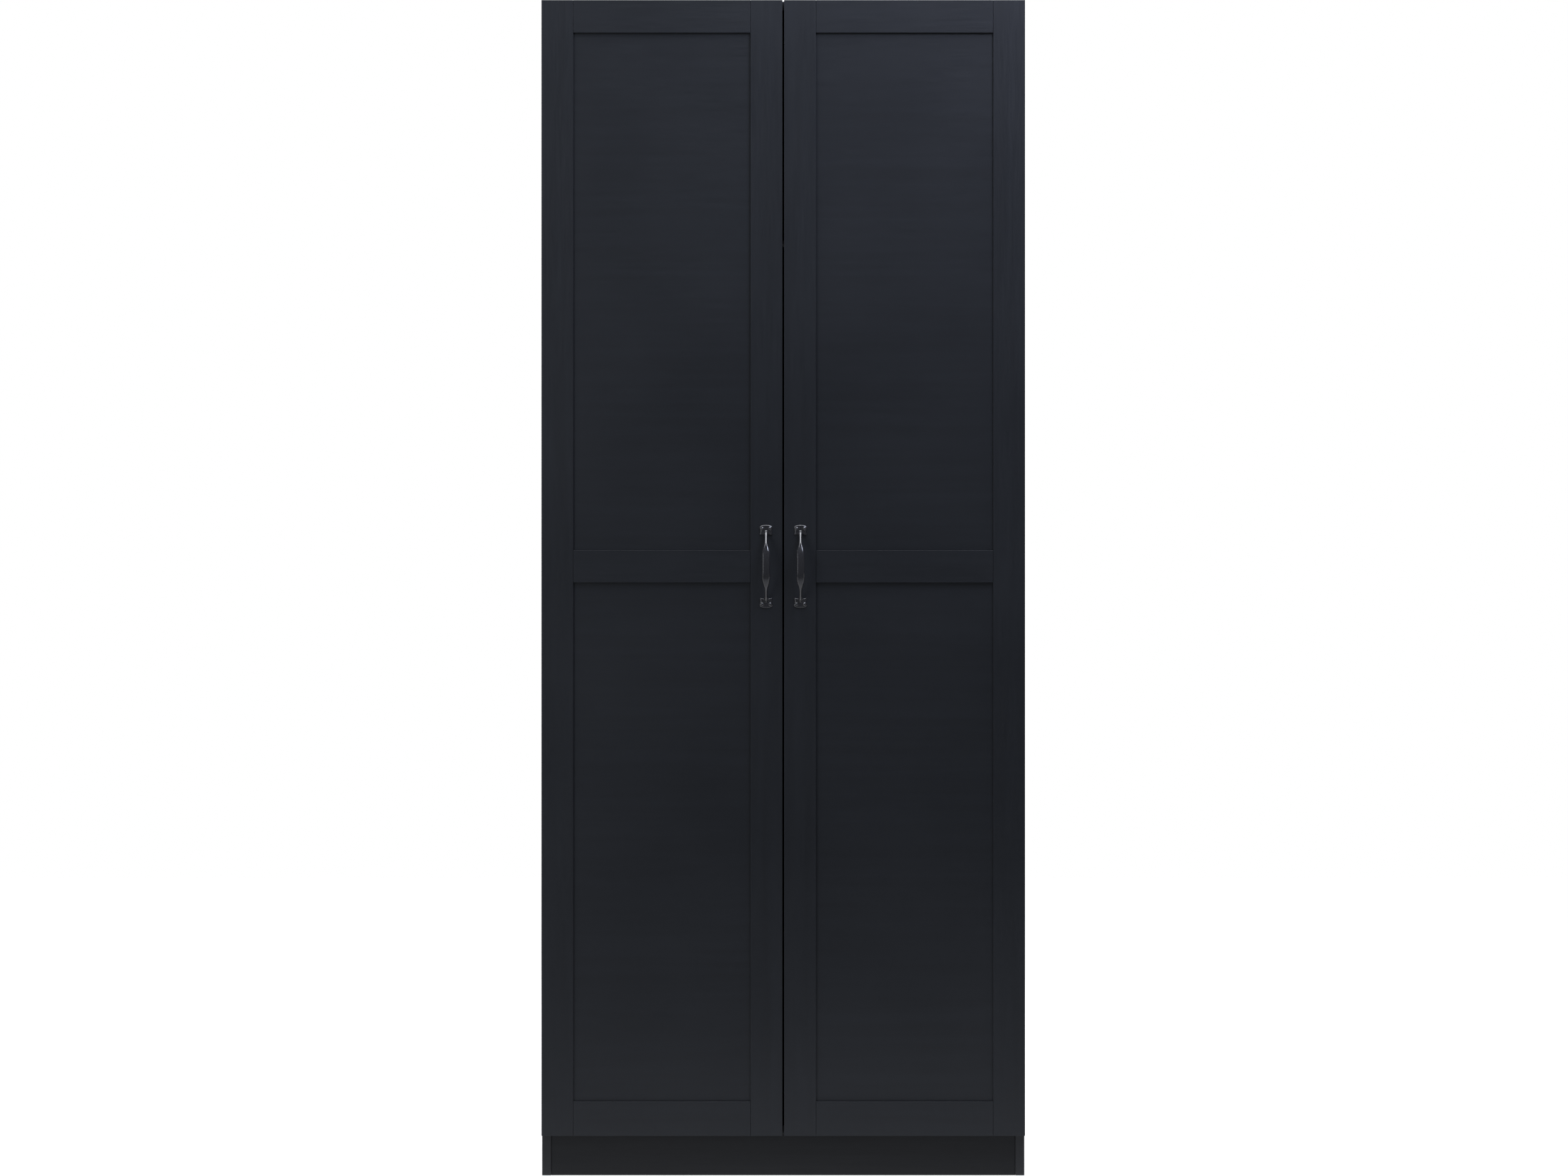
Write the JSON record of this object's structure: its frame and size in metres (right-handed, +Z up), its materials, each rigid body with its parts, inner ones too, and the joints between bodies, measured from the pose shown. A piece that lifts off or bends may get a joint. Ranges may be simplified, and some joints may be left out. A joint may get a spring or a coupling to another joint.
{
  "type": "wardrobe",
  "caption": "Tall black wardrobe with two framed doors on concealed hinges, bow handles, a hanging rod, a fixed hat shelf and an adjustable lower shelf.",
  "frame": {"origin": "on the floor under the middle of the object's bounding box", "axes": "+Z up; the doors face -Y; +X to the right seen from the front"},
  "size_m": [0.8, 0.5348, 1.947],
  "materials": {
    "door_laminate": "satin",
    "board_laminate": "satin",
    "hardboard": "matte",
    "fold_tape": "satin",
    "hinge_steel": "satin",
    "screw_steel": "satin",
    "handle_black": "gloss",
    "rod_chrome": "gloss",
    "cam_zinc": "satin",
    "beech": "matte",
    "bumper_rubber": "matte"
  },
  "bodies": {
    "carcass": {"left_side_panel": "board_laminate", "left_back_sheet": "hardboard", "left_rod_flange": "rod_chrome", "left_wall_bracket": "cam_zinc", "left_hinge_plates": "hinge_steel", "left_plate_screws": "screw_steel", "left_hinge_arms": "hinge_steel", "left_arm_screws": "screw_steel", "left_arm_pins": "hinge_steel", "right_side_panel": "board_laminate", "right_back_sheet": "hardboard", "right_rod_flange": "rod_chrome", "right_wall_bracket": "cam_zinc", "right_hinge_plates": "hinge_steel", "right_plate_screws": "screw_steel", "right_hinge_arms": "hinge_steel", "right_arm_screws": "screw_steel", "right_arm_pins": "hinge_steel", "top_panel": "board_laminate", "bottom_panel": "board_laminate", "upper_shelf": "board_laminate", "lower_shelf": "board_laminate", "kick_board": "board_laminate", "back_tape": "fold_tape", "back_nails": "screw_steel", "hanging_rod": "rod_chrome", "rod_screws": "screw_steel", "shelf_pins": "screw_steel", "cams": "cam_zinc", "cam_bolts": "screw_steel", "dowels": "beech", "bracket_screws": "screw_steel"},
    "left_door": {"left_door_slab": "door_laminate", "left_outer_stile": "door_laminate", "left_inner_stile": "door_laminate", "left_top_rail": "door_laminate", "left_middle_rail": "door_laminate", "left_bottom_rail": "door_laminate", "left_handle": "handle_black", "left_handle_screws": "handle_black", "left_bumpers": "bumper_rubber", "left_hinge_cups": "hinge_steel", "left_cup_screws": "screw_steel", "left_cup_pins": "hinge_steel"},
    "left_outer_link": {"left_outer_links": "hinge_steel"},
    "left_inner_link": {"left_inner_links": "hinge_steel"},
    "right_door": {"right_door_slab": "door_laminate", "right_outer_stile": "door_laminate", "right_inner_stile": "door_laminate", "right_top_rail": "door_laminate", "right_middle_rail": "door_laminate", "right_bottom_rail": "door_laminate", "right_handle": "handle_black", "right_handle_screws": "handle_black", "right_bumpers": "bumper_rubber", "right_hinge_cups": "hinge_steel", "right_cup_screws": "screw_steel", "right_cup_pins": "hinge_steel"},
    "right_outer_link": {"right_outer_links": "hinge_steel"},
    "right_inner_link": {"right_inner_links": "hinge_steel"}
  },
  "joints": [
    {"name": "left_outer_link_swing", "type": "hinge", "parent": "carcass", "child": "left_outer_link", "pos_m": [-0.368, -0.21, 1], "axis": [0, 0, -1], "range_deg": [-39.5, 0]},
    {"name": "left_door_swing", "type": "hinge", "parent": "left_outer_link", "child": "left_door", "pos_m": [-0.3878, -0.222, 1], "axis": [0, 0, -1], "range_deg": [0, 133.95]},
    {"name": "left_inner_link_swing", "type": "hinge", "parent": "left_door", "child": "left_inner_link", "pos_m": [-0.3872, -0.2266, 1], "axis": [0, 0, -1], "range_deg": [-112, 0]},
    {"name": "right_outer_link_swing", "type": "hinge", "parent": "carcass", "child": "right_outer_link", "pos_m": [0.368, -0.21, 1], "axis": [0, 0, 1], "range_deg": [-39.5, 0]},
    {"name": "right_door_swing", "type": "hinge", "parent": "right_outer_link", "child": "right_door", "pos_m": [0.3878, -0.222, 1], "axis": [0, 0, 1], "range_deg": [0, 133.95]},
    {"name": "right_inner_link_swing", "type": "hinge", "parent": "right_door", "child": "right_inner_link", "pos_m": [0.3872, -0.2266, 1], "axis": [0, 0, 1], "range_deg": [-112, 0]}
  ],
  "couplings": [
    {"joint": "left_outer_link_swing", "follows": "left_door_swing", "ratio": -0.29078},
    {"joint": "left_inner_link_swing", "follows": "left_door_swing", "ratio": -0.82979},
    {"joint": "right_outer_link_swing", "follows": "right_door_swing", "ratio": -0.29078},
    {"joint": "right_inner_link_swing", "follows": "right_door_swing", "ratio": -0.82979}
  ]
}
